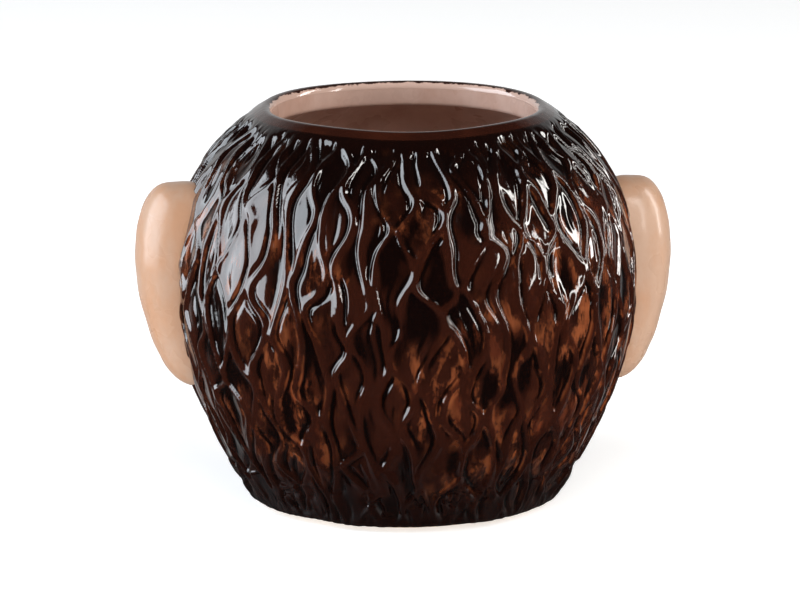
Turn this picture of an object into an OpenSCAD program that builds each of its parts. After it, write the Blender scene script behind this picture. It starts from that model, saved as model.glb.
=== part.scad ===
// Head-shaped glazed mug: a round, hair-covered animal head with a round mouth on top,
// two ears luted to the sides and a plain face in relief on the front.
// +Z is up, +Y is the way the face looks, X runs from ear to ear.
// The origin is on the mug's axis, at the table, under the foot ring.

/* [Head] */
// Height of the mug, from the table to the crest of the lip
mug_height = 100; // [85:1:120]
// Largest radius of the head, over the hair
belly_r = 59; // [52:0.5:68]
// Height of the largest radius above the table
belly_z = 54; // [45:1:62]
// Radius of the head at the table
base_r = 39; // [33:0.5:44]
// Thickness of the clay wall
wall = 3.2; // [2.5:0.1:4.2]
// Thickness of the clay floor
floor_thickness = 3.6; // [3:0.1:5]

/* [Mouth] */
// Inner radius of the glazed mouth
mouth_r = 33; // [28:0.5:36]
// Radius of the rounded crest of the lip
lip_round = 1.8; // [1.4:0.1:2.2]
// Slope of the shoulder where it meets the lip, below level
lip_slope = 30; // [26:1:36]
// How far the lip band reaches down from the crest
lip_drop = 1.5; // [1.3:0.1:2.2]

/* [Coats] */
// Depth of the carved hair coat, from its crests to the clay wall
hair_depth = 1.8; // [1.4:0.1:2.4]
// Thickness of the glaze that lines the inside
liner = 0.4; // [0.3:0.05:0.6]
// Height of the hair coat's lower edge above the table
coat_lift = 0.6; // [0.4:0.1:1]

/* [Foot ring] */
// How far the foot ring is set in from the head's radius at the table
foot_inset = 4.5; // [2.5:0.5:6]
// Width of the foot ring's tread
foot_tread = 5.5; // [4:0.5:8]
// Height of the foot ring
foot_height = 1.6; // [1.2:0.1:2]

/* [Ears] */
// How far an ear's tip stands out beyond the head's largest radius
ear_proud = 8.5; // [6:0.5:12]
// Height of an ear
ear_height = 53; // [44:1:58]
// Height of the middle of the ears above the table
ear_z = 55.5; // [50:0.5:60]
// How far the middle of the ears lies in front of the mug's axis
ear_forward = 2.5; // [0:0.5:5]
// Thickness of an ear, from back to front
ear_thickness = 17; // [14:0.5:20]
// How far the ear's edge curves back towards its ends
ear_curve = 3.4; // [2:0.2:4.5]
// Depth of the bowl in the front of an ear
ear_bowl = 5; // [3:0.5:7]

/* [Face] */
// Half the width of the face, over the two eye lobes
face_half_width = 34; // [30:0.5:37]
// Height of the eyes above the table
eye_z = 63; // [59:0.5:66]
// Distance between the middles of the eyes
eye_spacing = 31; // [28:0.5:34]
// Radius of an eyeball
eye_r = 8; // [7:0.25:8.5]
// How far an eyeball stands out of the face
eye_proud = 3.2; // [2.5:0.1:4]
// Radius of a pupil
pupil_r = 3.6; // [3:0.1:4]
// How far the face plate stands proud of the hair
plate_proud = 0.5; // [0.3:0.1:0.8]
// How far the muzzle stands out of the hair
muzzle_proud = 12; // [9:0.5:14]
// Half the width of the muzzle
muzzle_half_width = 27; // [23:0.5:28]
// Roundness of the muzzle seen from the side
muzzle_r = 19; // [16:0.5:20]
// Height of the middle of the muzzle above the table
muzzle_z = 34; // [31:0.5:36]
// Half the width of the nose
nose_half_width = 8.5; // [7:0.5:10]
// Roundness of the nose seen from the side
nose_r = 4.5; // [3.5:0.25:5.5]

/* [Hidden] */
$fn = 96;

glaze_gap = 0.1;        // glaze film between two pieces that are fired together
far = 200;              // longer than the mug in every direction
curve_steps = 14;       // straight facets along each of the profile's two curves
cove_from = 0.22;       // where the hollow's floor cove meets the wall, along the foot curve
cove_steps = 6;
below_table = 8;        // how far the profile runs on under the table before it is cut off
foot_r = base_r - foot_inset;
floor_z = foot_height + floor_thickness;
clay_in = hair_depth + wall;        // from the hair's crests to the wall's inner face
crest = [mouth_r + lip_round, mug_height - lip_round];
lip_z = mug_height - lip_drop;      // where the hair coat ends and the lip band begins

base_pull = [0.35, 0.19];   // how far the profile's curves bulge, as shares of the span
belly_pull = 0.62;
shoulder_pull = 0.41;
lip_pull = 0.93;

// The head's outer profile, as [radius, height]: two curves that meet at the belly.
foot_curve = [
    [base_r, 0],
    [base_r + base_pull.x * (belly_r - base_r), base_pull.y * belly_z],
    [belly_r, belly_pull * belly_z],
    [belly_r, belly_z],
];
lip_end = crest + lip_round * [sin(lip_slope), cos(lip_slope)];
shoulder_curve = [
    [belly_r, belly_z],
    [belly_r, belly_z + shoulder_pull * (mug_height - belly_z)],
    lip_end + lip_pull * (belly_r - lip_end.x) * [cos(lip_slope), -sin(lip_slope)],
    lip_end,
];

function bezier(p, t) =
    pow(1 - t, 3) * p[0] + 3 * t * pow(1 - t, 2) * p[1] + 3 * t * t * (1 - t) * p[2] + t * t * t * p[3];
function slope(p, t) =
    3 * pow(1 - t, 2) * (p[1] - p[0]) + 6 * t * (1 - t) * (p[2] - p[1]) + 3 * t * t * (p[3] - p[2]);
function unit(v) = v / norm(v);
function inward(v) = [-v.y, v.x];
// A point of a profile curve, moved in by depth
function skin(p, t, depth) = bezier(p, t) + depth * inward(unit(slope(p, t)));
// Every point of the profile from foot_from up, moved in by depth
function profile(depth, foot_from = 0) = concat(
    [for (i = [0:curve_steps - 1]) skin(foot_curve, foot_from + (1 - foot_from) * i / curve_steps, depth)],
    [for (i = [0:curve_steps]) skin(shoulder_curve, i / curve_steps, depth)]
);
// Radius of the head at a height, from the profile's facets
function radius_at(z, depth = 0) = let (p = profile(depth)) lookup(z, [for (q = p) [q.y, q.x]]);
// Distance in front of the axis of the head's surface at x and z
function front_at(x, z, depth = 0) = sqrt(pow(radius_at(z, depth), 2) - x * x);

// Half-section of all that lies inside the profile moved in by depth
module inside_area(depth) {
    start = skin(foot_curve, 0, depth);
    below = start - below_table * unit(slope(foot_curve, 0));
    top = skin(shoulder_curve, 1, depth);
    polygon(concat([[0, below.y], below], profile(depth), [[0, top.y]]));
}

// Half-section of the hollow: the profile moved in by depth, with a coved floor at height z
module hollow_area(depth, z) {
    wall_point = skin(foot_curve, cove_from, depth);
    along = unit(slope(foot_curve, cove_from));
    corner = wall_point - along * (wall_point.y - z) / along.y;
    floor_point = corner - [norm(wall_point - corner), 0];
    top = skin(shoulder_curve, 1, depth);
    polygon(concat(
        [[0, z], floor_point],
        [for (i = [1:cove_steps - 1]) let (s = i / cove_steps)
            pow(1 - s, 2) * floor_point + 2 * s * (1 - s) * corner + s * s * wall_point],
        profile(depth, cove_from),
        [[0, top.y]]
    ));
    mouth_area(depth - clay_in, belly_z, mug_height + 1);
}

// Half-section of the mouth's hole, widened by the glaze that is still to come off
module mouth_area(off, z1, z2) {
    translate([0, z1]) square([mouth_r + liner - off, z2 - z1]);
}

module band_area(z1, z2) {
    translate([0, z1]) square([far, z2 - z1]);
}

module lip_circle() {
    translate(crest) circle(lip_round);
}

// Solid of revolution inside the profile moved in by depth, from the table up
module head_solid(depth) {
    rotate_extrude() intersection() {
        inside_area(depth);
        band_area(0, far);
    }
}

module turned_shell() {
    rotate_extrude() difference() {
        intersection() {
            inside_area(hair_depth);
            band_area(foot_height, far);
        }
        hollow_area(clay_in, floor_z);
        lip_circle();
    }
}

// Half-section of the coat between the profile and the clay wall, with the lip's roll taken out
module coat_area(z1, z2) {
    outer = profile(0);
    inner = profile(hair_depth);
    last = len(inner) - 1;
    below = below_table * unit(slope(foot_curve, 0));
    intersection() {
        difference() {
            polygon(concat(
                [outer[0] - below], outer,
                [for (i = [last:-1:0]) inner[i]], [inner[0] - below]
            ));
            lip_circle();
        }
        band_area(z1, z2);
    }
}

module body_shell() {
    color([0.86, 0.80, 0.70]) turned_shell();
}

module foot_ring() {
    color([0.86, 0.80, 0.70]) difference() {
        cylinder(r = foot_r, h = foot_height);
        translate([0, 0, -1]) cylinder(r = foot_r - foot_tread, h = foot_height + 2);
    }
}

module liner_glaze() {
    color([0.78, 0.63, 0.53]) rotate_extrude() difference() {
        intersection() {
            hollow_area(clay_in, floor_z);
            band_area(0, crest.y);
        }
        hollow_area(clay_in + liner, floor_z + liner);
    }
}

module lip_band() {
    color([0.16, 0.07, 0.04]) rotate_extrude() difference() {
        union() {
            lip_circle();
            coat_area(lip_z, far);
        }
        mouth_area(0, 0, crest.y);
    }
}

// --- Ears ---

tip_x = belly_r + ear_proud;    // distance of an ear's tip from the mug's axis
tip_r = ear_thickness / 2;      // roundness of the ear's edge
ear_reach = ear_height / 2 - tip_r;
root_x = belly_r - 11;          // how near the axis the ear's root reaches
root_r = 0.6 * tip_r;
tip_forward = 1.5;              // how far the ear's edge is swept forward of its middle

// A ball of the ear at x, with its height and its place from back to front taken from the ear's middle
module ear_ball(x, y, z, r) {
    translate([x, ear_forward + y, ear_z + z]) sphere(r, $fn = 32);
}

module ear_lobe() {
    hull() {
        for (t = [-1:0.4:1]) {
            ear_ball(tip_x - tip_r - ear_curve * pow(t - 0.25, 2), tip_forward, t * ear_reach, tip_r);
        }
        for (t = [-0.75, 0.8]) ear_ball(root_x, -1, t * ear_reach, 0.9 * tip_r);
        ear_ball(belly_r - 6, -ear_forward, 0.05 * ear_height, 1.38 * tip_r);
    }
}

// The ear's root, a round-ended bar that stands on the clay wall; off makes it slimmer
module ear_root(off) {
    r = root_r - off;
    reach = 0.62 * ear_reach;
    translate([0, ear_forward, ear_z]) rotate([90, 0, 90]) linear_extrude(far) {
        for (t = [-1, 1]) translate([0, t * reach]) circle(r);
        translate([-r, -reach]) square([2 * r, 2 * reach]);
    }
}

// The bowl of the ear: an egg-shaped hollow in its front
module ear_hollow() {
    grow = 6;
    middle_y = ear_forward + tip_forward + tip_r + grow - ear_bowl;
    translate([tip_x - 1.1 * tip_r, middle_y, ear_z + 0.08 * ear_height])
        scale([0.85 * tip_r, grow, 0.33 * ear_height]) sphere(1, $fn = 64);
}

module ear() {
    color([0.90, 0.72, 0.56]) difference() {
        ear_lobe();
        difference() {
            head_solid(0);
            ear_root(glaze_gap);
        }
        head_solid(hair_depth);
        ear_hollow();
    }
}

// --- Face ---

lobe_r = face_half_width - eye_spacing / 2;
chin_r = muzzle_half_width + 1;
pupil_depth = 0.8;      // depth of a pupil's inlay in the eyeball
pupil_rise = 0.2;       // how far a pupil stands out of the eyeball
brow_gap = 3.4;         // from the eyeball's edge to the middle of the brow
brow_r = 2.6;           // roundness of a brow
brow_arc = 110;         // angle that a brow covers round the eye
brow_sink = 0.6;        // how far a brow's middle lies under the hair's surface

// Outline of the face, seen along Y: an eye lobe on each side and a round muzzle field
module face_outline(off) {
    for (side = [-1, 1]) translate([side * eye_spacing / 2, eye_z]) circle(lobe_r - off);
    translate([0, muzzle_z]) circle(chin_r - off);
}

module face_window(off) {
    rotate([90, 0, 180]) linear_extrude(far) face_outline(off);
}

module eye_place(side) {
    x = side * eye_spacing / 2;
    translate([x, front_at(x, eye_z) + eye_proud - eye_r, eye_z]) children();
}

module pupil_core(side) {
    eye_place(side) rotate([-90, 0, 0]) cylinder(r = pupil_r, h = far);
}

module eye(side) {
    color([0.93, 0.90, 0.84]) difference() {
        eye_place(side) sphere(eye_r);
        head_solid(hair_depth);
        pupil_inlay(side);
    }
}

module pupil_inlay(side) {
    intersection() {
        eye_place(side) difference() {
            sphere(eye_r + pupil_rise);
            sphere(eye_r - pupil_depth);
        }
        pupil_core(side);
    }
}

module pupil(side) {
    color([0.05, 0.03, 0.02]) pupil_inlay(side);
}

module brow(side) {
    bow_r = eye_r + brow_gap;
    x = side * eye_spacing / 2;
    color([0.16, 0.07, 0.04]) difference() {
        translate([x, front_at(x, eye_z + bow_r) - brow_sink, eye_z])
            rotate([90, 0, 0]) rotate([0, 0, (180 - brow_arc) / 2]) rotate_extrude(angle = brow_arc)
                translate([bow_r, 0]) circle(brow_r, $fn = 48);
        head_solid(-plate_proud);
    }
}

module face_plate() {
    color([0.90, 0.72, 0.56]) difference() {
        intersection() {
            difference() {
                head_solid(-plate_proud);
                head_solid(hair_depth);
            }
            face_window(glaze_gap);
        }
        for (side = [-1, 1]) eye_place(side) sphere(eye_r + glaze_gap);
    }
}

// A solid of revolution about X with an oval half-section
module spindle(half_width, r) {
    steps = 24;
    rotate([0, 90, 0]) rotate_extrude()
        polygon([for (i = [0:steps]) let (a = 180 * i / steps - 90) [r * cos(a), half_width * sin(a)]]);
}

muzzle_y = radius_at(muzzle_z) + muzzle_proud - muzzle_r;
nose_tilt = 52;         // angle of the nose above level, seen from the middle of the muzzle
nose_sink = 1.2;        // how far the nose's middle lies under the muzzle's surface
nostril_r = 1.4;
nostril_place = 0.42;   // distance of a nostril from the middle, as a share of half the nose
mouth_bow = 34;         // radius of the closed mouth's line
mouth_share = 0.6;      // half the mouth's line, as a share of half the muzzle
mouth_drop = 5;         // from the middle of the muzzle down to the middle of the mouth's line
groove_half = 0.7;      // half the width of the mouth's line
groove_depth = 1.2;     // depth of the mouth's line

module muzzle_bulge() {
    translate([0, muzzle_y, muzzle_z]) spindle(muzzle_half_width, muzzle_r);
}

module nose_place() {
    translate([0, muzzle_y, muzzle_z]) rotate([nose_tilt, 0, 0])
        translate([0, muzzle_r - nose_sink, 0]) children();
}

// The carved line of the closed mouth
module mouth_groove() {
    half = mouth_share * muzzle_half_width;
    translate([0, muzzle_y, muzzle_z - mouth_drop + mouth_bow]) rotate([-90, 0, 0]) intersection() {
        difference() {
            cylinder(r = mouth_bow + groove_half, h = far);
            translate([0, 0, -1]) cylinder(r = mouth_bow - groove_half, h = far);
        }
        translate([-half, 0, 0]) cube([2 * half, far, far]);
    }
}

module muzzle() {
    color([0.90, 0.72, 0.56]) difference() {
        muzzle_bulge();
        head_solid(-plate_proud);
        difference() {
            mouth_groove();
            translate([0, muzzle_y, muzzle_z])
                spindle(muzzle_half_width - groove_depth, muzzle_r - groove_depth);
        }
        nose_place() spindle(nose_half_width, nose_r);
    }
}

module nose() {
    color([0.16, 0.07, 0.04]) difference() {
        nose_place() spindle(nose_half_width, nose_r);
        head_solid(-plate_proud);
        for (side = [-1, 1]) nose_place() translate([side * nostril_place * nose_half_width, 0, 0])
            rotate([-90, 0, 0]) cylinder(r = nostril_r, h = far);
    }
}

// The hair coat on the back (side = -1) or front (side = 1) of the mould seam
module hair_half(side) {
    color([0.16, 0.07, 0.04]) difference() {
        intersection() {
            rotate_extrude() coat_area(coat_lift, lip_z);
            translate([-far / 2, side > 0 ? 0 : -far, -1]) cube(far);
        }
        for (turn = [0, 1]) mirror([turn, 0, 0]) ear_root(0);
        if (side > 0) face_window(0);
    }
}

module back_hair_coat() { hair_half(-1); }
module front_hair_coat() { hair_half(1); }
module right_ear() { ear(); }
module left_ear() { mirror([1, 0, 0]) ear(); }
module left_eye() { eye(-1); }
module right_eye() { eye(1); }
module left_pupil() { pupil(-1); }
module right_pupil() { pupil(1); }
module left_brow() { brow(-1); }
module right_brow() { brow(1); }

body_shell();
foot_ring();
liner_glaze();
lip_band();
back_hair_coat();
front_hair_coat();
left_ear();
right_ear();
face_plate();
muzzle();
nose();
left_eye();
right_eye();
left_pupil();
right_pupil();
left_brow();
right_brow();
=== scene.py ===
"""Looks of the head mug: carved hair under a dark brown glaze, tan ears, face, lip and liner."""

import math

import bpy
import numpy as np
from bpy.props import FloatProperty, FloatVectorProperty, IntProperty, PointerProperty
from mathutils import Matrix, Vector


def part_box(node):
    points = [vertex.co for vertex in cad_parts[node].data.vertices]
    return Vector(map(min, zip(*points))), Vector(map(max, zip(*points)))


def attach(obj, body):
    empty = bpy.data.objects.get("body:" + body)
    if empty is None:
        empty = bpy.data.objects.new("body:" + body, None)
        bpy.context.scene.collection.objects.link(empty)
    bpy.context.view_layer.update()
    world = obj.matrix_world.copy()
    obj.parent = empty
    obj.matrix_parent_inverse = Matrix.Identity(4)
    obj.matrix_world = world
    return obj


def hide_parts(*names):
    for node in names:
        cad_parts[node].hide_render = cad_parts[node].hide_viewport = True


bl_info = {
    "name": "Head Mug Maker",
    "version": (1, 0, 0),
    "blender": (4, 5, 0),
    "location": "3D View > Sidebar > Head Mug",
    "description": "Builds the glazed head mug around its packed CAD frame",
    "category": "Object",
}

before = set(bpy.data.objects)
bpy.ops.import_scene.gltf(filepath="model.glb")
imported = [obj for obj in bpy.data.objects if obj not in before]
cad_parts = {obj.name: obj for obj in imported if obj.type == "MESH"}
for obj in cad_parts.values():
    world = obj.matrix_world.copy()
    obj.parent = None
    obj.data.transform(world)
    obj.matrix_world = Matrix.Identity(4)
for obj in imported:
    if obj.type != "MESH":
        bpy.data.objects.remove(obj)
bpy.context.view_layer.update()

MM = 0.001


# ---------------------------------------------------------------- the head's outline

def outline_points():
    """Radius and height of the hair's outer outline in mm, from its top edge down to its lower edge."""
    seen = set()
    for name in ("back_hair_coat", "front_hair_coat"):
        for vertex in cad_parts[name].data.vertices:
            x, y, z = vertex.co
            seen.add((round(z / MM, 2), round(math.hypot(x, y) / MM, 2)))
    chain = []
    for z, r in sorted(seen):
        while len(chain) > 1:
            (z1, r1), (z2, r2) = chain[-2:]
            if (z2 - z1) * (r - r1) < (r2 - r1) * (z - z1):
                break
            chain.pop()
        chain.append((z, r))
    low_z = chain[0][0]
    low_r = max(r for z, r in seen if z == low_z)
    chain = [(z, r) for z, r in chain if z > low_z or r == low_r]
    return np.array([(r, z) for z, r in reversed(chain)])


def smooth_curve(points, steps=12):
    """A Catmull-Rom curve through the points, as closely spaced points."""
    padded = np.vstack([2 * points[0] - points[1], points, 2 * points[-1] - points[-2]])
    made = []
    for a, b, c, d in zip(padded, padded[1:], padded[2:], padded[3:]):
        for t in np.arange(steps) / steps:
            made.append(0.5 * (2 * b + (c - a) * t + (2 * a - 5 * b + 4 * c - d) * t**2
                               + (3 * b - a - 3 * c + d) * t**3))
    return np.vstack([made, points[-1]])


def evened(points, step, window):
    """The points of a polyline at even steps, its corners rounded over a window of steps."""
    length = np.concatenate([[0], np.cumsum(np.hypot(*np.diff(points, axis=0).T))])
    places = np.linspace(0, length[-1], round(length[-1] / step))
    even = np.column_stack([np.interp(places, length, column) for column in points.T])
    head = 2 * even[0] - even[window:0:-1]
    tail = 2 * even[-1] - even[-2:-window - 2:-1]
    padded = np.vstack([head, even, tail])
    kernel = np.hanning(2 * window + 1)
    kernel /= kernel.sum()
    return np.column_stack([np.convolve(column, kernel, "valid") for column in padded.T])


class Outline:
    """The head's outline by its length s in mm, measured down from the hair's top edge."""

    def __init__(self):
        curve = evened(outline_points(), 0.25, 14)
        self.s = np.concatenate([[0], np.cumsum(np.hypot(*np.diff(curve, axis=0).T))])
        self.r, self.z = curve.T
        slope = np.gradient(curve, self.s, axis=0)
        slope /= np.hypot(*slope.T)[:, None]
        self.normal_r, self.normal_z = -slope[:, 1], slope[:, 0]
        self.end = self.s[-1]

    def at(self, s, depth):
        """Radius and height at s, moved in from the outline by depth."""
        r = np.interp(s, self.s, self.r) - depth * np.interp(s, self.s, self.normal_r)
        z = np.interp(s, self.s, self.z) - depth * np.interp(s, self.s, self.normal_z)
        return r, z

    def sunk(self, s, turn):
        """How far the sag of the rim brings the outline in towards the clay wall."""
        r, z = self.at(s, 0)
        new_r, new_z = settle(r, z, turn)
        inward = (r - new_r) * np.interp(s, self.s, self.normal_r)
        return np.maximum(inward + (z - new_z) * np.interp(s, self.s, self.normal_z), 0)

    def radius(self, z):
        """Radius of the outline at a height."""
        return np.interp(-z, -self.z, self.r)


OUTLINE = Outline()
BELLY_R = OUTLINE.r.max()
ROUND = 2 * math.pi * BELLY_R


def smoothstep(x, low, high):
    t = np.clip((x - low) / (high - low), 0, 1)
    return t * t * (3 - 2 * t)


def settle(r, z, turn):
    """The slight sag of the cast rim: moves points near the lip by a slow wave round the mouth."""
    share = smoothstep(z, 86, 99)
    lift = 0.08 - 0.27 * np.sin(turn) - 0.15 * np.cos(4 * turn) + 0.07 * np.sin(5 * turn + 0.4)
    spread = 0.65 * np.cos(2 * turn) - 0.65 + 0.12 * np.sin(3 * turn + 0.4)
    return r + share * spread, z + share * lift


# ---------------------------------------------------------------- carved hair

def lane_noise(seed, lanes, lane, y):
    """A smooth random curve for each lane, read at y in knots."""
    knots = 24
    table = np.random.default_rng(seed).uniform(-1, 1, (lanes, knots))
    y = np.clip(y, 0, knots - 1.001)
    i = y.astype(int)
    t = y - i
    t = t * t * (3 - 2 * t)
    return table[lane % lanes, i] * (1 - t) + table[lane % lanes, i + 1] * t


def cloud(u, v, size_u, size_v, seed):
    """Smooth noise over the unrolled head that closes round it."""
    across = max(3, round(ROUND / size_u))
    table = np.random.default_rng(seed).uniform(-1, 1, (across, 64))
    x = u / ROUND * across
    y = v / size_v + 5
    i, j = np.floor(x).astype(int), np.floor(y).astype(int)
    fx, fy = x - i, y - j
    fx, fy = fx * fx * (3 - 2 * fx), fy * fy * (3 - 2 * fy)

    def value(a, b):
        return table[a % across, b % 64]

    low = value(i, j) * (1 - fx) + value(i + 1, j) * fx
    high = value(i, j + 1) * (1 - fx) + value(i + 1, j + 1) * fx
    return low * (1 - fy) + high * fy


def parting_line(lane, v, sizes):
    """Place round the head of the wavy parting line that starts a lane."""
    count = sizes.lanes
    width = ROUND / count
    phase = v / sizes.lock_length / 1000 + 0.20 * lane_noise(5, count, lane, v / 13 + 2)
    phase += 0.10 * lane_noise(6, count, lane, 0 * v)
    swing = 0.44 * width * (0.90 + 0.35 * lane_noise(7, count, lane, v / 13 + 2))
    drift = 0.17 * width * lane_noise(8, count, lane, v / 17 + 2)
    side = np.where(lane % 2 == 0, 1.0, -1.0)
    return lane * width + side * swing * np.cos(2 * math.pi * phase) + drift


def hair_relief(turn, s, sizes):
    """Height of the carved locks, 0 in the partings to 1 on the crests."""
    count = sizes.lanes
    width = ROUND / count
    u = turn / (2 * math.pi) * ROUND
    low = smoothstep(s, 84, 116)
    bent = u + (1.7 + 0.9 * low) * cloud(u, s, 15, 13, 11) + (0.6 + 0.8 * low) * cloud(u, s, 6, 7, 12)
    along = s + 3.5 * cloud(u, s, 13, 16, 13)

    # distance to the parting line on each side
    first = np.floor(bent / width).astype(int)
    left = np.full(u.shape, 1e3)
    right = np.full(u.shape, 1e3)
    lane = np.zeros(u.shape, int)
    for step in range(-2, 4):
        line = first + step
        gap = bent - parting_line(line, along, sizes)
        nearer = (gap >= 0) & (gap < left)
        lane = np.where(nearer, line, lane)
        left = np.where(nearer, gap, left)
        right = np.where((gap < 0) & (-gap < right), -gap, right)
    scale = OUTLINE.at(s, 0)[0] / BELLY_R
    left, right = left * scale, right * scale
    wide = left + right
    side = (left - right) / np.maximum(wide, 1e-6)

    # slow changes from lock to lock
    lean = cloud(u, s, 6.5, 11, 41)
    lift = cloud(u, s, 8, 13, 42)
    body = cloud(u, s, 5, 9, 43)

    # a raised rim along each parting line
    flank = 1.35 + 0.35 * body
    strong_left = np.clip(0.78 + 0.75 * cloud(u, s, 5, 10, 51), 0.3, 1)
    strong_right = np.clip(0.78 + 0.75 * cloud(u, s, 5, 10, 52), 0.3, 1)
    ridge_left = strong_left * np.exp(-((left / (flank * (1 + 0.5 * lean))) ** 2))
    ridge_right = strong_right * np.exp(-((right / (flank * (1 - 0.5 * lean))) ** 2))
    ridge = 1 - (1 - ridge_left) * (1 - ridge_right)

    # a groove on the inner side of each rim, where the lock is wide enough
    room = np.clip((wide - 1.8) / 1.6, 0, 1)
    cut_at = 1.25
    cut_wide = 0.46 + 0.14 * cloud(u, s, 5, 8, 46)
    cut_left = np.clip(0.62 - 1.6 * lean + 0.5 * lift, 0, 1)
    cut_right = np.clip(0.62 + 1.6 * lean + 0.5 * body, 0, 1)
    cut = cut_left * np.exp(-(((left - cut_at) / cut_wide) ** 2))
    cut = np.maximum(cut, cut_right * np.exp(-(((right - cut_at) / cut_wide) ** 2))) * room

    # a slot down the middle of some broad locks
    slot_share = np.clip(cloud(u, s, 6, 9, 44) * 2.4 - 0.9, 0, 1) * np.clip((wide - 3.6) / 1.5, 0, 1)
    slot = slot_share * np.exp(-((((left - right) / 2 - 0.5 * lean) / 0.36) ** 2))

    # the middle of the lock, dished or swollen
    pillow = 0.10 + 0.34 * cloud(u, s, 7, 11, 53)
    dish = 0.32 + 0.26 * lean * side + 0.12 * lift + pillow * (1 - side**2)
    height = dish + (0.93 + 0.07 * body - dish) * ridge
    return np.clip(height - (0.66 + 0.10 * lift) * cut - 0.42 * slot, 0, 1)


def softened(field):
    """A grid of heights, each evened a little with its neighbours; the side columns stay as they are."""
    soft = field.copy()
    for view in (soft, soft.T):
        view[1:-1] = 0.25 * view[:-2] + 0.5 * view[1:-1] + 0.25 * view[2:]
    return soft


# ---------------------------------------------------------------- mesh helpers

def deselect():
    if bpy.context.object and bpy.context.object.mode != "OBJECT":
        bpy.ops.object.mode_set(mode="OBJECT")
    bpy.ops.object.select_all(action="DESELECT")


def get_points(piece):
    points = np.empty(len(piece.data.vertices) * 3)
    piece.data.vertices.foreach_get("co", points)
    return points.reshape(-1, 3)


def set_points(piece, points):
    piece.data.vertices.foreach_set("co", np.ascontiguousarray(points, dtype=float).ravel())
    piece.data.update()


def set_attribute(piece, name, values):
    attribute = piece.data.attributes.new(name, "FLOAT", "POINT")
    attribute.data.foreach_set("value", values.astype(np.float32))


def in_edit_mode(piece, *steps):
    """Runs edit-mode operators on the whole of one piece."""
    deselect()
    piece.select_set(True)
    bpy.context.view_layer.objects.active = piece
    bpy.ops.object.mode_set(mode="EDIT")
    bpy.ops.mesh.select_all(action="SELECT")
    for step in steps:
        step()
    bpy.ops.object.mode_set(mode="OBJECT")


def add_grid(name, columns, rows):
    """A flat grid and the place of each of its points, 0 to 1 each way."""
    deselect()
    bpy.ops.mesh.primitive_grid_add(x_subdivisions=columns, y_subdivisions=rows, size=2)
    piece = bpy.context.object
    piece.name = name
    points = get_points(piece)
    return piece, (points[:, 0] + 1) / 2, (points[:, 1] + 1) / 2


def join(target, *others):
    deselect()
    for other in others:
        other.select_set(True)
    target.select_set(True)
    bpy.context.view_layer.objects.active = target
    bpy.ops.object.join()


def facing_out():
    bpy.ops.mesh.normals_make_consistent(inside=False)


def smooth(piece, angle=None):
    deselect()
    piece.select_set(True)
    bpy.context.view_layer.objects.active = piece
    if angle is None:
        bpy.ops.object.shade_smooth()
    else:
        bpy.ops.object.shade_smooth_by_angle(angle=math.radians(angle))


def spin_section(name, section, steps):
    """Turns a closed half-section, given as radius and height in mm, right round the mug's axis."""
    deselect()
    bpy.ops.mesh.primitive_circle_add(vertices=len(section), radius=1, fill_type="NOTHING")
    piece = bpy.context.object
    piece.name = name
    set_points(piece, [(r * MM, 0, z * MM) for r, z in section])

    def turn():
        bpy.ops.mesh.spin(steps=steps, angle=2 * math.pi, center=(0, 0, 0), axis=(0, 0, 1))

    def close():
        bpy.ops.mesh.select_all(action="SELECT")
        bpy.ops.mesh.remove_doubles(threshold=1e-6)

    in_edit_mode(piece, turn, close, facing_out)
    return piece


def cylindrical(piece):
    """Radius and height in mm, and the turn round the axis, of each point."""
    points = get_points(piece)
    turn = np.arctan2(points[:, 1], points[:, 0])
    return np.hypot(points[:, 0], points[:, 1]) / MM, points[:, 2] / MM, turn


def place_cylindrical(piece, r, z, turn):
    set_points(piece, np.column_stack([r * np.cos(turn), r * np.sin(turn), z]) * MM)


def finish_piece(piece, material, slot, *nodes):
    """Gives a piece its material and its body, and hides the CAD nodes that it stands for; the slot is not
    used.
    """
    piece.data.materials.clear()
    piece.data.materials.append(material)
    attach(piece, "root")
    if nodes:
        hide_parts(*nodes)


# ---------------------------------------------------------------- material helpers

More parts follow.
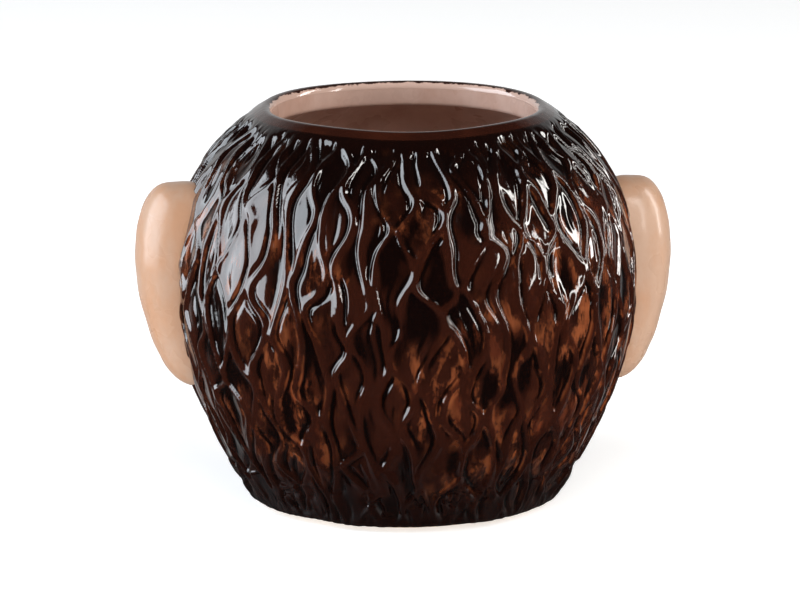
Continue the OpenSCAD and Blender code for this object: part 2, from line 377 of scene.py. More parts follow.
class Nodes:
    """Short names for building a node tree."""

    def __init__(self, name):
        self.material = bpy.data.materials.new(name)
        self.material.use_nodes = True
        self.tree = self.material.node_tree
        self.shader = self.tree.nodes["Principled BSDF"]
        self.place = self.add("ShaderNodeTexCoord").outputs["Object"]

    def add(self, kind, **settings):
        node = self.tree.nodes.new(kind)
        for key, value in settings.items():
            setattr(node, key, value)
        return node

    def link(self, source, target):
        self.tree.links.new(source, target)

    def set(self, **values):
        for key, value in values.items():
            self.shader.inputs[key.replace("_", " ")].default_value = value

    def stretched(self, stretch):
        """Object coordinates scaled along each axis."""
        mapping = self.add("ShaderNodeMapping")
        mapping.inputs["Scale"].default_value = stretch
        self.link(self.place, mapping.inputs["Vector"])
        return mapping.outputs["Vector"]

    def noise(self, scale, detail=3.0, roughness=0.5, stretch=None):
        """Cloudy noise, 0 to 1, whose scale is in features per metre."""
        node = self.add("ShaderNodeTexNoise")
        node.inputs["Scale"].default_value = scale
        node.inputs["Detail"].default_value = detail
        node.inputs["Roughness"].default_value = roughness
        self.link(self.stretched(stretch) if stretch else self.place, node.inputs["Vector"])
        return node.outputs["Fac"]

    def beside_ears(self):
        """Share, 0 to 1, of tan glaze brushed raggedly over the hair at the ears' roots."""
        across = self.math("ABSOLUTE", self.along("X"))
        reach = self.math("MULTIPLY_ADD", self.noise(260, 3, 0.6), 0.004, across)
        return self.ramp(self.math("MULTIPLY", reach, 10.0), [(0.592, 0.0), (0.604, 0.75)])

    def rising_towards_plus_x(self):
        """Cloudy noise that rises towards the +X side."""
        return self.math("MULTIPLY_ADD", self.along("X"), 2.0, self.noise(38, 2, 0.5))

    def painted_shade_bands(self):
        """Share, 0 to 1, of painted shade that darkens the glaze under the lip and towards the base."""
        level = self.math("MULTIPLY_ADD", self.noise(120, 3, 0.6), 0.012, self.along("Z"))
        return self.ramp(self.math("MULTIPLY", level, 10.0),
                         [(0.10, 0.90), (0.38, 0.0), (0.86, 0.0), (0.98, 0.92)])

    def attribute(self, name):
        return self.add("ShaderNodeAttribute", attribute_name=name).outputs["Fac"]

    def ramp(self, value, stops, smooth=False):
        """A value or a colour looked up from (position, colour) stops."""
        node = self.add("ShaderNodeValToRGB")
        if smooth:
            node.color_ramp.interpolation = "EASE"
        while len(node.color_ramp.elements) < len(stops):
            node.color_ramp.elements.new(0.5)
        for element, (position, colour) in zip(node.color_ramp.elements, stops):
            element.position = position
            element.color = (*colour[:3], 1) if hasattr(colour, "__len__") else (colour,) * 3 + (1,)
        self.link(value, node.inputs["Fac"])
        return node.outputs["Color"]

    def mix(self, share, first, second):
        node = self.add("ShaderNodeMix", data_type="RGBA")
        for value, socket in ((share, 0), (first, 6), (second, 7)):
            if hasattr(value, "links"):
                self.link(value, node.inputs[socket])
            elif socket == 0:
                node.inputs[socket].default_value = value
            else:
                node.inputs[socket].default_value = (*value[:3], 1)
        return node.outputs[2]

    def math(self, operation, *values):
        node = self.add("ShaderNodeMath", operation=operation)
        for value, socket in zip(values, node.inputs):
            if hasattr(value, "links"):
                self.link(value, socket)
            else:
                socket.default_value = value
        return node.outputs[0]

    def along(self, axis):
        """One object coordinate."""
        split = self.add("ShaderNodeSeparateXYZ")
        self.link(self.place, split.inputs[0])
        return split.outputs[axis]

    def bump(self, height, distance, strength=1.0, after=None):
        node = self.add("ShaderNodeBump")
        node.inputs["Distance"].default_value = distance
        node.inputs["Strength"].default_value = strength
        self.link(height, node.inputs["Height"])
        if after:
            self.link(after, node.inputs["Normal"])
        return node.outputs["Normal"]


def hair_material(colours):
    """Dark brown glaze: near black where it pools in the partings, breaking red-brown on the crests."""
    n = Nodes("brown_glaze")
    relief = n.attribute("relief")
    areas = n.ramp(n.rising_towards_plus_x(), [(0.42, 0.0), (0.62, 1.0)], smooth=True)
    specks = n.ramp(n.noise(300, 5, 0.65, stretch=(1, 1, 0.4)), [(0.47, 0.0), (0.62, 1.0)], smooth=True)
    patches = n.math("MULTIPLY", areas, specks)
    streaks = n.noise(420, 3, 0.6, stretch=(1, 1, 0.22))
    level = n.math("ADD", relief, n.math("MULTIPLY_ADD", streaks, 0.22, -0.11))
    plain = n.ramp(level, [(0.28, colours.pooled_and_shade), (0.47, colours.brown), (0.90, colours.brown)])
    broken = n.ramp(level, [(0.17, colours.pooled_and_shade), (0.30, colours.breaking), (0.44, colours.crest),
                            (0.62, colours.breaking), (0.85, colours.brown)])
    colour = n.mix(patches, plain, broken)
    # Painted shade: under the lip and towards the base the glaze colour is darkened to its darkest.
    colour = n.mix(n.painted_shade_bands(), colour, colours.pooled_and_shade)
    n.link(n.mix(n.beside_ears(), colour, colours.ear_warm), n.shader.inputs["Base Color"])
    n.link(n.ramp(n.noise(160, 2), [(0.3, 0.055), (0.7, 0.11)]), n.shader.inputs["Roughness"])
    ripple = n.bump(n.noise(260, 2, 0.5, stretch=(1, 1, 0.35)), 0.00022)
    n.link(n.bump(n.noise(900, 2, 0.5), 0.00003, after=ripple), n.shader.inputs["Normal"])
    n.set(IOR=1.52, Coat_Weight=0.6, Coat_Roughness=0.03)
    return n.material


def tan_material(name, base, warm, speck_share=0.35):
    """Tan glaze with soft orange mottling and tiny specks."""
    n = Nodes(name)
    mottle = n.ramp(n.noise(85, 4, 0.6, stretch=(1, 1, 0.5)), [(0.40, 0.0), (0.66, 1.0)], smooth=True)
    fine = n.ramp(n.noise(520, 3, 0.6), [(0.35, 0.0), (0.75, 1.0)])
    colour = n.mix(n.math("MULTIPLY", mottle, 0.75), base, warm)
    darker = tuple(0.72 * c for c in warm)
    colour = n.mix(n.math("MULTIPLY", fine, 0.30 * speck_share), colour, darker)
    n.link(colour, n.shader.inputs["Base Color"])
    n.link(n.ramp(n.noise(130, 2), [(0.3, 0.24), (0.7, 0.34)]), n.shader.inputs["Roughness"])
    n.link(n.bump(n.noise(240, 3, 0.55), 0.00012), n.shader.inputs["Normal"])
    n.set(IOR=1.42, Coat_Weight=0.18, Coat_Roughness=0.12)
    return n.material


def lip_material(colours):
    """Brown glaze over the lip, whose ragged brushed edge lets the tan show just inside the crest."""
    n = Nodes("lip_glaze")
    inside = n.attribute("inside")
    ragged = n.noise(330, 4, 0.65)
    edge = n.math("ADD", inside, n.math("MULTIPLY_ADD", ragged, 0.8, -0.40))
    share = n.ramp(edge, [(0.50, 0.0), (0.58, 1.0)])
    patches = n.ramp(n.noise(60, 3, 0.5), [(0.45, 0.0), (0.72, 1.0)], smooth=True)
    brown = n.mix(n.math("MULTIPLY", patches, 0.25), colours.brown, colours.breaking)
    n.link(n.mix(share, brown, colours.liner), n.shader.inputs["Base Color"])
    n.link(n.ramp(n.noise(150, 2), [(0.3, 0.10), (0.7, 0.18)]), n.shader.inputs["Roughness"])
    n.link(n.bump(n.noise(220, 3, 0.55), 0.00018), n.shader.inputs["Normal"])
    n.set(IOR=1.52, Coat_Weight=0.5, Coat_Roughness=0.04)
    return n.material


def clay_material(colours):
    """Bare fired clay: matt, pale, a little sandy."""
    n = Nodes("bare_clay")
    sand = n.noise(1500, 4, 0.7)
    dull, dark = (tuple(share * c for c in colours.clay) for share in (0.82, 0.6))
    tone = n.mix(n.ramp(n.noise(70, 3), [(0.35, 0.0), (0.7, 1.0)]), colours.clay, dull)
    n.link(n.mix(n.math("MULTIPLY", sand, 0.35), tone, dark), n.shader.inputs["Base Color"])
    n.link(n.ramp(sand, [(0.3, 0.72), (0.7, 0.90)]), n.shader.inputs["Roughness"])
    n.link(n.bump(sand, 0.00012), n.shader.inputs["Normal"])
    return n.material


# ---------------------------------------------------------------- sizes and colours

def colour(name, description, value):
    return FloatVectorProperty(name=name, description=description, subtype="COLOR", size=3,
                               min=0, max=1, default=value)


class MugSizes(bpy.types.PropertyGroup):
    lanes: IntProperty(name="Hair lanes", description="Lanes of locks round the head",
                       default=64, min=40, max=72)
    lock_length: FloatProperty(name="Lock length", description="Length of a lock",
                               unit="LENGTH", default=0.026)
    carving: FloatProperty(name="Carving depth", description="Depth of the partings between locks",
                           unit="LENGTH", default=0.0017)
    coat: FloatProperty(name="Coat depth", description="From the crests to the clay wall",
                        unit="LENGTH", default=0.0018)
    wall: FloatProperty(name="Clay wall", description="Thickness of the clay wall",
                        unit="LENGTH", default=0.0032)
    liner: FloatProperty(name="Liner", description="Thickness of the inner glaze",
                         unit="LENGTH", default=0.0004)


class MugColours(bpy.types.PropertyGroup):
    # This thick-glaze colour also paints the shade under the lip and towards the base.
    pooled_and_shade: colour("Pooled glaze", "Brown glaze where it is thickest", (0.004, 0.0008, 0.0004))
    brown: colour("Brown glaze", "Brown glaze on the locks", (0.027, 0.0060, 0.0028))
    breaking: colour("Breaking glaze", "Brown glaze where it thins", (0.095, 0.021, 0.008))
    crest: colour("Crest glaze", "Brown glaze at its thinnest", (0.24, 0.067, 0.023))
    ear: colour("Ear glaze", "Tan glaze of the ears and face", (0.52, 0.335, 0.235))
    ear_warm: colour("Ear mottle", "Warmer mottling in the tan glaze", (0.52, 0.27, 0.150))
    liner: colour("Liner glaze", "Tan glaze of the inside", (0.68, 0.47, 0.39))
    liner_warm: colour("Liner mottle", "Warmer mottling of the inside", (0.56, 0.34, 0.26))
    eye: colour("Eye glaze", "Cream glaze of the eyeballs", (0.74, 0.66, 0.54))
    pupil: colour("Pupil glaze", "Black glaze of the pupils", (0.006, 0.005, 0.004))
    clay: colour("Bare clay", "Fired clay without glaze", (0.70, 0.58, 0.46))


# ---------------------------------------------------------------- pieces

OUTER_COLUMNS, OUTER_ROWS = 512, 186
INNER_COLUMNS, INNER_ROWS = 60, 24
MOUTH_R = 33.0
# Thickness left under the deepest carving, in mm
LEAST_GLAZE = 0.1


def hair_sheet(name, start, sizes, pressed=False):
    """Half of the hair coat as a closed shell: a carved outer skin and a plain inner one.

    The carving fades out under the lip, at the base and, where pressed, at the face's edge.
    """
    outer, u, v = add_grid(name, OUTER_COLUMNS, OUTER_ROWS)
    turn = start + math.pi * u
    s = OUTLINE.end * (1 - v)
    height = hair_relief(turn % (2 * math.pi), s, sizes)
    height = softened(height.reshape(OUTER_ROWS + 1, OUTER_COLUMNS + 1)).ravel()
    ragged = 1.6 * cloud(turn / (2 * math.pi) * ROUND % ROUND, s, 5, 30, 61)
    fade = smoothstep(s + ragged * smoothstep(s, 0.5, 3), 0.5, 5.0)
    height = 1 - (1 - height) * fade
    to_base = smoothstep(s, OUTLINE.end - 6, OUTLINE.end - 1)
    height = height + (0.85 - height) * 0.85 * to_base
    if pressed:
        r, z = OUTLINE.at(s, 0)
        height = height * smoothstep(face_gap(r * np.cos(turn), z), -0.4, 1.2)
    low = np.clip((s - OUTLINE.end + 2.6) / 2.6, 0, 1)
    rolled = 1.3 * (1 - np.sqrt(1 - low**2))
    around = turn / (2 * math.pi) * ROUND % ROUND
    lumps = 0.55 * cloud(around, s, 17, 13, 71) * smoothstep(s, 70, 100)
    creases = 0.75 * np.exp(-((cloud(around, s, 5.5, 4.5, 72) / 0.15) ** 2))
    lumps += creases * smoothstep(s, OUTLINE.end - 18, OUTLINE.end - 10) * (1 - to_base)
    depth = sizes.carving / MM * (1 - height) + rolled + lumps
    deepest = sizes.coat / MM - LEAST_GLAZE - OUTLINE.sunk(s, turn)
    r, z = OUTLINE.at(s, np.minimum(depth, deepest))
    r, z = settle(r, z, turn)
    place_cylindrical(outer, r, z, turn)
    set_attribute(outer, "relief", height)

    inner, u, v = add_grid(name + "_inner", INNER_COLUMNS, INNER_ROWS)
    turn = start + math.pi * u
    r, z = OUTLINE.at(OUTLINE.end * (1 - v), sizes.coat / MM)
    r, z = settle(r, z, turn)
    place_cylindrical(inner, r, z, turn)
    set_attribute(inner, "relief", np.zeros(len(turn)))
    join(outer, inner)

    def open_edges():
        bpy.ops.mesh.select_all(action="DESELECT")
        bpy.ops.mesh.select_mode(type="EDGE")
        bpy.ops.mesh.select_non_manifold(extend=False, use_wire=False, use_multi_face=False,
                                         use_non_contiguous=False, use_verts=False)

    def all_of_it():
        bpy.ops.mesh.select_all(action="SELECT")

    in_edit_mode(outer, open_edges, bpy.ops.mesh.bridge_edge_loops, all_of_it, facing_out)
    smooth(outer, 75)
    return outer


class MUG_OT_hair(bpy.types.Operator):
    """Adds the carved hair coat, a back and a front half that meet at the mould seam"""
    bl_idname = "head_mug.hair"
    bl_label = "Hair"

    def execute(self, context):
        sizes = context.scene.mug_sizes
        material = hair_material(context.scene.mug_colours)
        back = hair_sheet("back_hair", math.pi, sizes)
        finish_piece(back, material, "hair_glaze", "back_hair_coat")
        front = hair_sheet("front_hair", 0.0, sizes, pressed=True)
        finish_piece(front, material, "hair_glaze", "front_hair_coat")
        return {"FINISHED"}


class MUG_OT_lip(bpy.types.Operator):
    """Adds the rolled lip, from the hair's top edge over the crest to the mouth"""
    bl_idname = "head_mug.lip"
    bl_label = "Lip"

    def execute(self, context):
        top = OUTLINE.at(np.array([0.0]), 0)
        crest_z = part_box("lip_band")[1].z / MM
        roll = crest_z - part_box("liner_glaze")[1].z / MM
        centre_r, centre_z = MOUTH_R + roll, crest_z - roll
        slope = math.atan2(OUTLINE.normal_r[0], OUTLINE.normal_z[0])
        outside = list(zip(*OUTLINE.at(np.linspace(0.35, 0, 3), 0)))
        rounded = [(centre_r + roll * math.sin(a), centre_z + roll * math.cos(a))
                   for a in np.linspace(slope, -math.pi / 2, 26)]
        under = [(MOUTH_R + 0.25, centre_z - 0.25), (centre_r + 0.6, centre_z - 0.25)]
        hidden = [(float(top[0][0]) - 0.6, float(top[1][0]) - 1.1)]
        section = outside + rounded + under + hidden
        piece = spin_section("lip", section, 256)
        r, z, turn = cylindrical(piece)
        over = np.where(z > centre_z - 0.1, np.arctan2(z - centre_z, centre_r - r) / math.pi, 0)
        inside_share = np.clip(1 - over * 1.6, 0, 1) * (r < centre_r + 0.2)
        set_attribute(piece, "inside", inside_share)
        r, z = settle(r, z, turn)
        place_cylindrical(piece, r, z, turn)
        smooth(piece, 50)
        finish_piece(piece, lip_material(context.scene.mug_colours), "hair_glaze", "lip_band")
        return {"FINISHED"}


class MUG_OT_liner(bpy.types.Operator):
    """Adds the tan glaze inside: the straight cut edge of the mouth, the wall, the cove and the floor"""
    bl_idname = "head_mug.liner"
    bl_label = "Liner"

    def execute(self, context):
        sizes = context.scene.mug_sizes
        low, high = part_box("liner_glaze")
        depth = (sizes.coat + sizes.wall + sizes.liner) / MM
        floor_z = low.z / MM + sizes.liner / MM
        top_z = high.z / MM
        wall_r, wall_z = OUTLINE.at(OUTLINE.s, depth)
        keep = (wall_r > MOUTH_R) & (wall_z < top_z - 2) & (wall_z > floor_z + 4.2)
        wall = list(zip(wall_r[keep][::-1], wall_z[keep][::-1]))[::4]
        corner = np.array([wall[0][0] - 3.5, floor_z])
        start = np.array(wall[0])
        flat = corner - [3.5, 0]
        cove = [tuple((1 - t) ** 2 * flat + 2 * t * (1 - t) * corner + t * t * start)
                for t in np.linspace(0, 1, 9)[:-1]]
        neck_low = wall[-1][1] + 0.25
        neck = [(MOUTH_R + 0.35, neck_low - 0.15), (MOUTH_R + 0.06, neck_low + 0.25)]
        neck += [(MOUTH_R, z) for z in np.linspace(neck_low + 0.6, top_z, 6)]
        visible = [(0.0, floor_z)] + cove + wall + neck
        back = [(r + 0.33 if z > floor_z + 3 else r, z - 0.33 if z < floor_z + 4 else z)
                for r, z in visible[::-1]]
        back[-1] = (0.0, back[-1][1])
        section = visible + back
        piece = spin_section("liner", section, 192)
        r, z, turn = cylindrical(piece)
        r, z = settle(r, z, turn)
        place_cylindrical(piece, r, z, turn)
        smooth(piece, 35)
        colours = context.scene.mug_colours
        material = tan_material("liner_glaze", colours.liner, colours.liner_warm)
        finish_piece(piece, material, "liner_glaze", "liner_glaze")
        return {"FINISHED"}


# The ear's outline seen from behind: distance from the axis and height, in mm
EAR_OUTLINE = [(67.4, 64), (66.6, 71), (64.6, 77), (61.5, 80.6), (57.5, 81.6), (51, 81), (46, 74),
               (44.5, 60), (45, 44), (48, 33), (52.5, 29.8), (56.4, 30.6), (60, 34), (62.6, 39),
               (65.2, 47), (67, 56)]
EAR_CENTRE = (53.0, 56.0)


def ear_mesh(name, side):
    """An ear: a round-edged blade with a bowl in its front; the right one was set a little lower."""
    deselect()
    bpy.ops.mesh.primitive_uv_sphere_add(segments=128, ring_count=64, radius=1,
                                         rotation=(math.pi / 2, 0, 0))
    piece = bpy.context.object
    piece.name = name
    bpy.ops.object.transform_apply(location=True, rotation=True, scale=True)
    x, y, z = get_points(piece).T
    outline = np.array(EAR_OUTLINE) - EAR_CENTRE
    angle = np.unwrap(np.arctan2(outline[:, 1], outline[:, 0]))
    reach = np.hypot(*outline.T)
    order = np.argsort(angle)
    angle, reach = angle[order], reach[order]
    angle = np.concatenate([angle - 2 * math.pi, angle, angle + 2 * math.pi])
    reach = np.tile(reach, 3)
    fine = smooth_curve(np.column_stack([angle, reach]), 16)
    out = np.clip(np.hypot(x, z), 0, 1)
    bearing = np.arctan2(z, x)
    edge = np.interp(bearing, fine[:, 0], fine[:, 1])
    wide = EAR_CENTRE[0] + out * edge * np.cos(bearing)
    high = EAR_CENTRE[1] + out * edge * np.sin(bearing)
    thick = np.clip(1 - out**4.5, 0, 1) ** 0.46
    middle = 4.0 * np.clip((wide - EAR_CENTRE[0]) / 14, -0.3, 1)
    back = middle - 9.6 * thick - 0.9 * (1 - out**2)
    front = middle + 8.2 * thick
    bowl_out = np.hypot((wide - 59.5) / 5.6, (high - 59.5) / 17.5)
    bowl = 6.2 * (1 - smoothstep(bowl_out, 0.25, 1.15))
    fold = 1.5 * np.exp(-(((bowl_out - 0.55) / 0.16) ** 2)) * smoothstep(high, 62, 70)
    depth = np.where(y > 0, front - bowl + fold, back)
    if side > 0:
        wide, high = wide + 1.0, high - 1.3
    set_points(piece, np.column_stack([side * wide, depth, high]) * MM)
    in_edit_mode(piece, facing_out)
    smooth(piece)
    return piece


class MUG_OT_ears(bpy.types.Operator):
    """Adds the two luted ears"""
    bl_idname = "head_mug.ears"
    bl_label = "Ears"

    def execute(self, context):
        colours = context.scene.mug_colours
        material = tan_material("ear_glaze", colours.ear, colours.ear_warm)
        for name, side in (("left_ear", -1), ("right_ear", 1)):
            piece = ear_mesh(name + "_glazed", side)
            finish_piece(piece, material, "ear_glaze", name)
        return {"FINISHED"}


# ---------------------------------------------------------------- face

FACE_LOW, FACE_HIGH = (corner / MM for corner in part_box("face_plate"))
EYE_LOW, EYE_HIGH = (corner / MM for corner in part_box("right_eye"))
EYE_X, EYE_Z = (EYE_LOW.x + EYE_HIGH.x) / 2, (EYE_LOW.z + EYE_HIGH.z) / 2
EYE_R = (EYE_HIGH.z - EYE_LOW.z) / 2
LOBE_R = FACE_HIGH.z - EYE_Z
MUZZLE_LOW, MUZZLE_HIGH = (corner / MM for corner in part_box("muzzle"))
MUZZLE_HALF = (MUZZLE_HIGH.x - MUZZLE_LOW.x) / 2
MUZZLE_Z = FACE_LOW.z + MUZZLE_HALF + 1
MUZZLE_R = MUZZLE_HIGH.z - MUZZLE_Z
MUZZLE_Y = MUZZLE_HIGH.y - MUZZLE_R


def soft_min(a, b, reach):
    share = np.clip(0.5 + 0.5 * (b - a) / reach, 0, 1)
    return b + (a - b) * share - reach * share * (1 - share)


def face_gap(x, z):
    """Distance outside the face's outline, negative within it, seen from the front."""
    lobes = np.hypot(np.abs(x) - EYE_X, z - EYE_Z) - LOBE_R
    chin = np.hypot(x, z - MUZZLE_Z) - (MUZZLE_HALF + 1)
    return soft_min(lobes, chin, 5.0)


def on_head(x, z, depth):
    """Place on the front of the head at x and z, moved in by depth."""
    s = np.interp(-z, -OUTLINE.z, OUTLINE.s)
    turn = np.arccos(np.clip(x / OUTLINE.radius(z), -1, 1))
    r, z = OUTLINE.at(s, depth)
    return np.column_stack([r * np.cos(turn), r * np.sin(turn), z])


def kept_out(points, depth):
    """Points that lie deeper than depth under the head's outline brought out to that depth."""
    x, y, z = points.T
    turn = np.arctan2(y, x)
    limit = OUTLINE.radius(z) - depth
    r = np.maximum(np.hypot(x, y), limit)
    return np.column_stack([r * np.cos(turn), r * np.sin(turn), z])


def ball(name, segments, rings):
    """A unit ball whose poles lie along Y, and its points."""
    deselect()
    bpy.ops.mesh.primitive_uv_sphere_add(segments=segments, ring_count=rings, radius=1,
                                         rotation=(-math.pi / 2, 0, 0))
    piece = bpy.context.object
    piece.name = name
    bpy.ops.object.transform_apply(location=True, rotation=True, scale=True)
    return piece, get_points(piece)


def muzzle_rise(x, z):
    """Height of the muzzle's bulge above the head's outline at x and z."""
    inside = 1 - (x / MUZZLE_HALF) ** 2 - ((z - MUZZLE_Z) / MUZZLE_R) ** 2
    front = MUZZLE_Y + MUZZLE_R * np.sign(inside) * np.sqrt(np.abs(inside))
    return np.hypot(x, front) - OUTLINE.radius(z)


def eye_distance(x, z):
    return np.hypot(np.abs(x) - EYE_X, z - EYE_Z)


def face_field():
    """The smooth tan field of the face, raised in a soft rim round each eye and up to the muzzle."""
    piece, unit = ball("face_field", 256, 128)
    bearing = np.arctan2(unit[:, 2], unit[:, 0])
    out = np.clip(np.hypot(unit[:, 0], unit[:, 2]), 0, 1)
    middle_z = EYE_Z - 10
    near, reach = np.zeros(len(out)), np.full(len(out), 60.0)
    for _ in range(24):
        middle = (near + reach) / 2
        within = face_gap(middle * np.cos(bearing), middle_z + middle * np.sin(bearing)) < 0
        near, reach = np.where(within, middle, near), np.where(within, reach, middle)
    x = out * near * np.cos(bearing)
    z = middle_z + out * near * np.sin(bearing)
    edge = -face_gap(x, z)
    rounding = np.sqrt(np.clip(1 - (1 - np.clip(edge / 1.8, 0, 1)) ** 2, 0, 1))
    d = eye_distance(x, z)
    rim = 0.9 * np.exp(-(((d - EYE_R - 0.4) / 1.5) ** 2))
    hollow = 0.5 * np.exp(-(((d - EYE_R - 5) / 3.0) ** 2))
    rise = 0.5 + rim - hollow
    rise = rise + 0.8 * np.exp(-((x / 5) ** 2)) * smoothstep(z, 50, 62) * (1 - smoothstep(z, 68, 78))
    rise = -soft_min(-rise, -np.clip(muzzle_rise(x, z) - 0.2, -6, 3), 3.0)
    depth = np.where(unit[:, 1] > 0, 1.3 - (1.3 + rise) * rounding, 1.3)
    set_points(piece, on_head(x, z, depth) * MM)
    return piece


def muzzle_piece():
    """The muzzle: a broad soft bulge with two upper puffs, a closed mouth and a groove under the nose."""
    piece, unit = ball("muzzle_bulge", 256, 160)
    size = np.array([MUZZLE_HALF, MUZZLE_R, MUZZLE_R])
    points = unit * size + [0, MUZZLE_Y, MUZZLE_Z]
    x, z = points[:, 0], points[:, 2]
    bow = 34.0
    mouth_z = MUZZLE_Z - 5 + bow - np.sqrt(np.clip(bow**2 - x**2, 0, None))
    lips = np.exp(-(((z - mouth_z) / 0.85) ** 2)) * (1 - smoothstep(np.abs(x), 13, 18))
    puffs = np.exp(-(((np.abs(x) - 9.5) / 8) ** 2 + ((z - MUZZLE_Z - 1.5) / 7) ** 2))
    under = np.exp(-((x / 2.0) ** 2)) * smoothstep(z, mouth_z - 0.5, mouth_z + 1.5)
    under = under * (1 - smoothstep(z, MUZZLE_Z + 10, MUZZLE_Z + 13))
    below = np.exp(-(((z - mouth_z + 2.6) / 1.8) ** 2)) * (1 - smoothstep(np.abs(x), 10, 17))
    push = 1.0 * puffs - 1.3 * lips - 0.5 * under + 0.5 * below
    points = points + unit * (push * (unit[:, 1] > 0))[:, None]
    set_points(piece, kept_out(points, 1.4) * MM)
    return piece


def nose_piece():
    """The nose: a broad rounded wedge with two nostrils."""
    low, high = (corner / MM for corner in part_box("nose"))
    centre = np.array((low + high) / 2)
    half = np.array((high - low) / 2)
    piece, unit = ball("nose_button", 128, 96)
    x, y, z = unit.T
    wide = 1 - 0.28 * smoothstep(-z, -0.2, 1.0)
    dent = np.exp(-(((np.abs(x) - 0.36) / 0.13) ** 2 + ((z + 0.30) / 0.22) ** 2)) * (y > 0)
    shaped = np.column_stack([x * wide, y - 0.42 * dent, z])
    set_points(piece, (shaped * half + centre) * MM)
    return piece


def eye_centre(name):
    low, high = (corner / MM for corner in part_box(name))
    return np.array([(low.x + high.x) / 2, high.y - EYE_R, (low.z + high.z) / 2])


def eye_piece(side):
    piece, unit = ball(side + "_eyeball", 96, 48)
    set_points(piece, kept_out(unit * EYE_R + eye_centre(side + "_eye"), 1.4) * MM)
    return piece


def pupil_piece(side):
    """A pupil: a thin domed disc of black glaze on the eyeball."""
    low, high = (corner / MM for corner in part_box(side + "_pupil"))
    radius = (high.z - low.z) / 2
    piece, unit = ball(side + "_pupil_dot", 64, 32)
    x, z = unit[:, 0] * radius, unit[:, 2] * radius
    front = np.sqrt((EYE_R - 0.25) ** 2 - x**2 - z**2)
    y = front + unit[:, 1] * 0.45
    set_points(piece, (np.column_stack([x, y, z]) + eye_centre(side + "_eye")) * MM)
    return piece


def brow_piece(side):
    """A brow: a tapered bow of brown glaze over the eye."""
    sign = -1 if side == "left" else 1
    piece, unit = ball(side + "_brow_bow", 64, 96)
    along = unit[:, 1]
    around = np.arctan2(unit[:, 2], unit[:, 0])
    angle = math.pi / 2 - math.radians(56) * along
    tube = 2.5 * np.clip(1 - np.abs(along) ** 3.2, 0, 1) ** 0.5
    bow = EYE_R + 3.4 + tube * np.cos(around) * 0.9
    x = sign * EYE_X + bow * np.cos(angle)
    z = EYE_Z + bow * np.sin(angle)
    set_points(piece, on_head(x, z, 0.1 - tube * np.sin(around)) * MM)
    return piece


class MUG_OT_face(bpy.types.Operator):
    """Adds the face: field, muzzle, nose, eyes, pupils and brows"""
    bl_idname = "head_mug.face"
    bl_label = "Face"

    def execute(self, context):
        colours = context.scene.mug_colours
        tan = tan_material("face_glaze", colours.ear, colours.ear_warm)
        brown = hair_material(colours)
        white = tan_material("eye_glaze", colours.eye, tuple(0.85 * c for c in colours.eye))
        black = tan_material("pupil_glaze", colours.pupil, tuple(1.6 * c for c in colours.pupil))
        made = [(face_field(), tan, "face_glaze", "face_plate"),
                (muzzle_piece(), tan, "face_glaze", "muzzle"),
                (nose_piece(), brown, "hair_glaze", "nose")]
        for side in ("left", "right"):
            made.append((eye_piece(side), white, "eye_glaze", side + "_eye"))
            made.append((pupil_piece(side), black, "pupil_glaze", side + "_pupil"))
            made.append((brow_piece(side), brown, "hair_glaze", side + "_brow"))
        for piece, material, slot, node in made:
            in_edit_mode(piece, facing_out)
            smooth(piece, 60)
            if slot == "hair_glaze":
                set_attribute(piece, "relief", np.full(len(piece.data.vertices), 0.62))
            finish_piece(piece, material, slot, node)
        return {"FINISHED"}


class MUG_OT_foot(bpy.types.Operator):
    """Adds the round-edged foot ring and gives the clay wall its bare clay"""
    bl_idname = "head_mug.foot"
    bl_label = "Foot"

    def execute(self, context):
        clay = clay_material(context.scene.mug_colours)
        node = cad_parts["body_shell"]
        node.data.materials.clear()
        node.data.materials.append(clay)
        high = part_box("foot_ring")[1] / MM
        inner = min(math.hypot(v.co.x, v.co.y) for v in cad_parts["foot_ring"].data.vertices) / MM
        edge = 0.6
        section = [(inner, high.z)]
        section += [(inner + edge - edge * math.cos(a), edge - edge * math.sin(a))
                    for a in np.linspace(0, math.pi / 2, 8)]
        section += [(high.x - edge + edge * math.sin(a), edge - edge * math.cos(a))
                    for a in np.linspace(0, math.pi / 2, 8)]
        section += [(high.x, high.z)]
        piece = spin_section("foot", section, 192)
        smooth(piece, 50)
        finish_piece(piece, clay, "clay", "foot_ring")
        return {"FINISHED"}


# ---------------------------------------------------------------- stage

MIDDLE = Vector((0, 0, 0.05))


def area_light(name, place, size, power, tint):
    """A rectangular softbox turned to the mug's middle."""
    data = bpy.data.lights.new(name, "AREA")
    data.shape = "RECTANGLE"
    data.size, data.size_y = size
    data.energy = power
    data.color = tint
    lamp = bpy.data.objects.new(name, data)
    bpy.context.scene.collection.objects.link(lamp)
    lamp.location = place
    lamp.rotation_euler = (MIDDLE - Vector(place)).to_track_quat("-Z", "Y").to_euler()
    return lamp


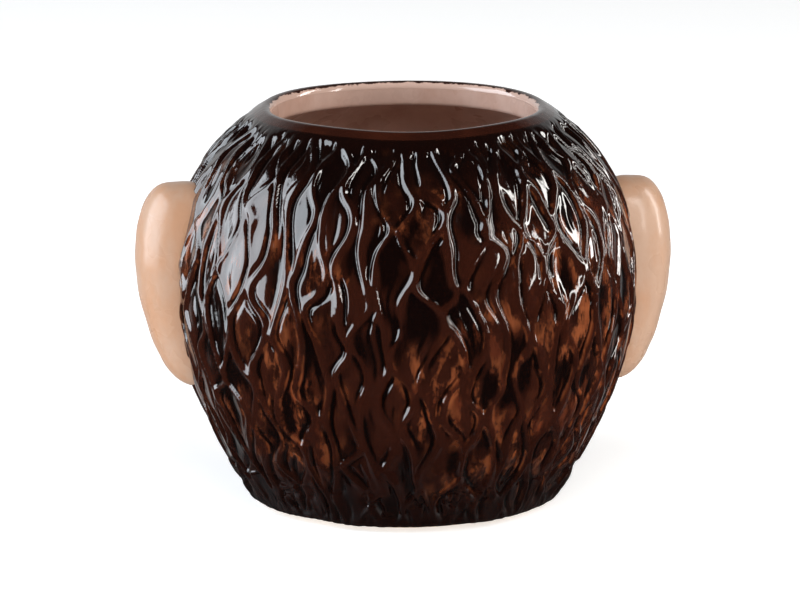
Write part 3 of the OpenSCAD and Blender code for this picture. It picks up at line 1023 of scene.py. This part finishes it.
class MUG_OT_stage(bpy.types.Operator):
    """Adds the pale floor, the studio lights and the camera"""
    bl_idname = "head_mug.stage"
    bl_label = "Stage"

    def execute(self, context):
        scene = context.scene
        scene.view_settings.view_transform = "Standard"
        deselect()
        bpy.ops.mesh.primitive_plane_add(size=8)
        floor = context.object
        floor.name = "floor"
        paint = Nodes("floor_paint")
        tone = paint.ramp(paint.noise(3, 2), [(0.0, 0.93), (1.0, 0.96)])
        paint.link(tone, paint.shader.inputs["Base Color"])
        paint.set(Roughness=0.9, Emission_Strength=0.5)
        paint.shader.inputs["Emission Color"].default_value = (1, 1, 1, 1)
        floor.data.materials.append(paint.material)
        floor.visible_glossy = False
        bpy.ops.mesh.primitive_circle_add(vertices=96, radius=0.056, fill_type="NGON",
                                          location=(0, 0, 0.00005))
        card = context.object
        card.name = "floor_card"
        glow = Nodes("floor_card")
        glow.shader.inputs["Base Color"].default_value = (0, 0, 0, 1)
        glow.shader.inputs["Emission Color"].default_value = (1, 0.98, 0.96, 1)
        glow.set(Emission_Strength=0.02)
        card.data.materials.append(glow.material)
        card.visible_camera = card.visible_diffuse = card.visible_shadow = False

        area_light("left_softbox", (-1.0, 0.02, 0.36), (1.0, 1.12), 18, (0.86, 0.93, 1.0))
        area_light("right_strip", (0.80, -0.55, 0.42), (0.10, 0.8), 3, (1.0, 0.98, 0.95))
        area_light("right_softbox", (0.98, 0.05, 0.40), (0.16, 0.9), 5.5, (1.0, 0.98, 0.95))
        key = area_light("front_key", (0.1, -1.0, 1.0), (0.9, 0.7), 9, (1.0, 0.97, 0.94))
        key.visible_glossy = False

        world = bpy.data.worlds.new("studio")
        world.use_nodes = True
        scene.world = world
        nodes, links = world.node_tree.nodes, world.node_tree.links
        background = nodes["Background"]
        background.inputs["Color"].default_value = (1, 1, 1, 1)
        direction = nodes.new("ShaderNodeTexCoord")
        split = nodes.new("ShaderNodeSeparateXYZ")
        links.new(direction.outputs["Generated"], split.inputs[0])
        behind = nodes.new("ShaderNodeMapRange")
        behind.inputs["From Min"].default_value = 0.60
        behind.inputs["From Max"].default_value = 0.95
        behind.inputs["To Min"].default_value = 0.02
        behind.inputs["To Max"].default_value = 0.50
        links.new(split.outputs["Y"], behind.inputs["Value"])
        path = nodes.new("ShaderNodeLightPath")
        pick = nodes.new("ShaderNodeMix")
        links.new(path.outputs["Is Camera Ray"], pick.inputs[0])
        links.new(behind.outputs[0], pick.inputs[2])
        pick.inputs[3].default_value = 1.0
        links.new(pick.outputs[0], background.inputs["Strength"])

        lens = bpy.data.cameras.new("camera")
        lens.lens = 250
        lens.sensor_width = 36
        camera = bpy.data.objects.new("camera", lens)
        scene.collection.objects.link(camera)
        turn, rise, distance = math.radians(-7), math.radians(13.39), 1.40
        toward = Vector((math.sin(turn) * math.cos(rise), -math.cos(turn) * math.cos(rise), math.sin(rise)))
        side = Vector((math.cos(turn), math.sin(turn), 0))
        aim = MIDDLE - side * 0.001
        camera.location = aim + toward * distance
        camera.rotation_euler = (-toward).to_track_quat("-Z", "Y").to_euler()
        scene.camera = camera
        return {"FINISHED"}


OPERATORS = (MUG_OT_hair, MUG_OT_lip, MUG_OT_liner, MUG_OT_ears, MUG_OT_face, MUG_OT_foot, MUG_OT_stage)


class MUG_PT_panel(bpy.types.Panel):
    bl_label = "Head Mug"
    bl_idname = "MUG_PT_panel"
    bl_space_type = "VIEW_3D"
    bl_region_type = "UI"
    bl_category = "Head Mug"

    def draw(self, context):
        for group in (context.scene.mug_sizes, context.scene.mug_colours):
            for name in group.bl_rna.properties.keys():
                if name not in ("rna_type", "name"):
                    self.layout.prop(group, name)
        for operator in OPERATORS:
            self.layout.operator(operator.bl_idname)


CLASSES = (MugSizes, MugColours, *OPERATORS, MUG_PT_panel)


def register():
    for kind in CLASSES:
        bpy.utils.register_class(kind)
    bpy.types.Scene.mug_sizes = PointerProperty(type=MugSizes)
    bpy.types.Scene.mug_colours = PointerProperty(type=MugColours)


def unregister():
    del bpy.types.Scene.mug_colours
    del bpy.types.Scene.mug_sizes
    for kind in reversed(CLASSES):
        bpy.utils.unregister_class(kind)


def main():
    register()
    for operator in OPERATORS:
        group, name = operator.bl_idname.split(".")
        getattr(getattr(bpy.ops, group), name)()


if __name__ == "__main__":
    main()
